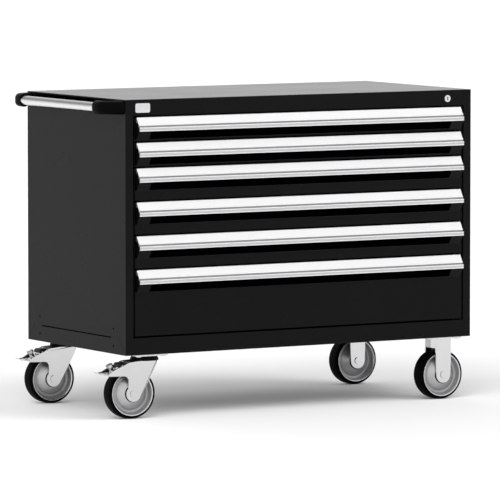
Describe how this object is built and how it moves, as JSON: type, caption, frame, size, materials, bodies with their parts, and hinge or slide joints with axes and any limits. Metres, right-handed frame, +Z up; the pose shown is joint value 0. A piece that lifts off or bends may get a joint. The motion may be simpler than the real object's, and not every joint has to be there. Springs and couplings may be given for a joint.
{
  "type": "mobile drawer workbench",
  "caption": "Low wheeled steel drawer cabinet with a flat work top, full-width pull rails, a single lock, a side push handle and braked swivel casters at the handle end.",
  "frame": {"origin": "on the floor, at the bottom centre of the whole object's box, handle and pulls included", "axes": "+X along the front to the right as seen from the drawers, +Y from the drawers to the back, +Z up"},
  "size_m": [1.2886, 0.6304, 0.9557],
  "materials": {
    "black_paint": "satin powder coat",
    "box_paint": "satin powder coat",
    "zinc_steel": "zinc plated",
    "caster_zinc": "bright zinc plated",
    "pull_aluminium": "bright anodised",
    "handle_steel": "chromed tube",
    "black_plastic": "fine grained",
    "badge_metal": "satin",
    "lock_chrome": "polished",
    "race_black": "black oxide",
    "tyre_rubber": "smooth",
    "hub_grey": "grey enamel",
    "brake_chrome": "polished"
  },
  "bodies": {
    "cabinet": {"side_panels": "black_paint", "cross_panels": "black_paint", "top_panel": "black_paint", "base_pan": "black_paint", "slide_posts": "zinc_steel", "drawer_runners": "zinc_steel", "blank_badge": "badge_metal", "lock_housing": "lock_chrome", "handle_mount": "black_plastic", "handle_tube": "handle_steel", "swivel_races": "race_black", "caster_mounts": "caster_zinc", "fixed_bolts": "zinc_steel"},
    "lock_barrel": {"lock_plug": "lock_chrome", "lock_cam": "zinc_steel"},
    "lock_bar": {"lock_bar": "zinc_steel"},
    "drawer_1": {"drawer_box_1": "box_paint", "drawer_front_1": "black_paint", "drawer_pull_1": "pull_aluminium", "drawer_members_1": "zinc_steel"},
    "carriage_1": {"slide_carriage_1": "zinc_steel"},
    "drawer_2": {"drawer_box_2": "box_paint", "drawer_front_2": "black_paint", "drawer_pull_2": "pull_aluminium", "drawer_members_2": "zinc_steel"},
    "carriage_2": {"slide_carriage_2": "zinc_steel"},
    "drawer_3": {"drawer_box_3": "box_paint", "drawer_front_3": "black_paint", "drawer_pull_3": "pull_aluminium", "drawer_members_3": "zinc_steel"},
    "carriage_3": {"slide_carriage_3": "zinc_steel"},
    "drawer_4": {"drawer_box_4": "box_paint", "drawer_front_4": "black_paint", "drawer_pull_4": "pull_aluminium", "drawer_members_4": "zinc_steel"},
    "carriage_4": {"slide_carriage_4": "zinc_steel"},
    "drawer_5": {"drawer_box_5": "box_paint", "drawer_front_5": "black_paint", "drawer_pull_5": "pull_aluminium", "drawer_members_5": "zinc_steel"},
    "carriage_5": {"slide_carriage_5": "zinc_steel"},
    "drawer_6": {"drawer_box_6": "box_paint", "drawer_front_6": "black_paint", "drawer_pull_6": "pull_aluminium", "drawer_members_6": "zinc_steel"},
    "carriage_6": {"slide_carriage_6": "zinc_steel"},
    "swivel_front": {"swivel_fork_front": "caster_zinc", "swivel_axle_front": "zinc_steel"},
    "wheel_left_front": {"tyre_left_front": "tyre_rubber", "hub_left_front": "hub_grey"},
    "pedal_front": {"brake_pedal_front": "brake_chrome"},
    "wheel_right_front": {"tyre_right_front": "tyre_rubber", "hub_right_front": "hub_grey"},
    "swivel_rear": {"swivel_fork_rear": "caster_zinc", "swivel_axle_rear": "zinc_steel"},
    "wheel_left_rear": {"tyre_left_rear": "tyre_rubber", "hub_left_rear": "hub_grey"},
    "pedal_rear": {"brake_pedal_rear": "brake_chrome"},
    "wheel_right_rear": {"tyre_right_rear": "tyre_rubber", "hub_right_rear": "hub_grey"}
  },
  "joints": [
    {"name": "drawer_1_slide", "type": "slide", "parent": "cabinet", "child": "drawer_1", "axis": [0, -1, 0], "range_m": [0, 0.5]},
    {"name": "carriage_1_slide", "type": "slide", "parent": "cabinet", "child": "carriage_1", "axis": [0, -1, 0], "range_m": [0, 0.25]},
    {"name": "drawer_2_slide", "type": "slide", "parent": "cabinet", "child": "drawer_2", "axis": [0, -1, 0], "range_m": [0, 0.5]},
    {"name": "carriage_2_slide", "type": "slide", "parent": "cabinet", "child": "carriage_2", "axis": [0, -1, 0], "range_m": [0, 0.25]},
    {"name": "drawer_3_slide", "type": "slide", "parent": "cabinet", "child": "drawer_3", "axis": [0, -1, 0], "range_m": [0, 0.5]},
    {"name": "carriage_3_slide", "type": "slide", "parent": "cabinet", "child": "carriage_3", "axis": [0, -1, 0], "range_m": [0, 0.25]},
    {"name": "drawer_4_slide", "type": "slide", "parent": "cabinet", "child": "drawer_4", "axis": [0, -1, 0], "range_m": [0, 0.5]},
    {"name": "carriage_4_slide", "type": "slide", "parent": "cabinet", "child": "carriage_4", "axis": [0, -1, 0], "range_m": [0, 0.25]},
    {"name": "drawer_5_slide", "type": "slide", "parent": "cabinet", "child": "drawer_5", "axis": [0, -1, 0], "range_m": [0, 0.5]},
    {"name": "carriage_5_slide", "type": "slide", "parent": "cabinet", "child": "carriage_5", "axis": [0, -1, 0], "range_m": [0, 0.25]},
    {"name": "drawer_6_slide", "type": "slide", "parent": "cabinet", "child": "drawer_6", "axis": [0, -1, 0], "range_m": [0, 0.5]},
    {"name": "carriage_6_slide", "type": "slide", "parent": "cabinet", "child": "carriage_6", "axis": [0, -1, 0], "range_m": [0, 0.25]},
    {"name": "lock_turn", "type": "hinge", "parent": "cabinet", "child": "lock_barrel", "pos_m": [0.55785, -0.2944, 0.9294], "axis": [0, -1, 0], "range_deg": [0, 90]},
    {"name": "lock_bar_lift", "type": "slide", "parent": "cabinet", "child": "lock_bar", "axis": [0, 0, 1], "range_m": [0, 0.01202]},
    {"name": "swivel_front_turn", "type": "hinge", "parent": "cabinet", "child": "swivel_front", "pos_m": [-0.48085, -0.2394, 0.1837], "axis": [0, 0, 1], "continuous": true},
    {"name": "wheel_left_front_spin", "type": "hinge", "parent": "swivel_front", "child": "wheel_left_front", "pos_m": [-0.5307, -0.23548, 0.0762], "axis": [0.0785, 0.9969, 0], "continuous": true},
    {"name": "brake_front_press", "type": "hinge", "parent": "swivel_front", "child": "pedal_front", "pos_m": [-0.55662, -0.23344, 0.1564], "axis": [-0.0785, -0.9969, 0], "range_deg": [0, 10]},
    {"name": "wheel_right_front_spin", "type": "hinge", "parent": "cabinet", "child": "wheel_right_front", "pos_m": [0.56135, -0.2394, 0.0762], "axis": [0, 1, 0], "continuous": true},
    {"name": "swivel_rear_turn", "type": "hinge", "parent": "cabinet", "child": "swivel_rear", "pos_m": [-0.48085, 0.2602, 0.1837], "axis": [0, 0, 1], "continuous": true},
    {"name": "wheel_left_rear_spin", "type": "hinge", "parent": "swivel_rear", "child": "wheel_left_rear", "pos_m": [-0.5308, 0.26238, 0.0762], "axis": [0.0436, 0.999, 0], "continuous": true},
    {"name": "brake_rear_press", "type": "hinge", "parent": "swivel_rear", "child": "pedal_rear", "pos_m": [-0.55678, 0.26351, 0.1564], "axis": [-0.0436, -0.999, 0], "range_deg": [0, 10]},
    {"name": "wheel_right_rear_spin", "type": "hinge", "parent": "cabinet", "child": "wheel_right_rear", "pos_m": [0.56135, 0.2602, 0.0762], "axis": [0, 1, 0], "continuous": true}
  ],
  "couplings": [
    {"joint": "carriage_1_slide", "follows": "drawer_1_slide", "ratio": 0.5},
    {"joint": "carriage_2_slide", "follows": "drawer_2_slide", "ratio": 0.5},
    {"joint": "carriage_3_slide", "follows": "drawer_3_slide", "ratio": 0.5},
    {"joint": "carriage_4_slide", "follows": "drawer_4_slide", "ratio": 0.5},
    {"joint": "carriage_5_slide", "follows": "drawer_5_slide", "ratio": 0.5},
    {"joint": "carriage_6_slide", "follows": "drawer_6_slide", "ratio": 0.5},
    {"joint": "lock_turn", "follows": "lock_bar_lift", "rad_per_m": 130.67}
  ]
}
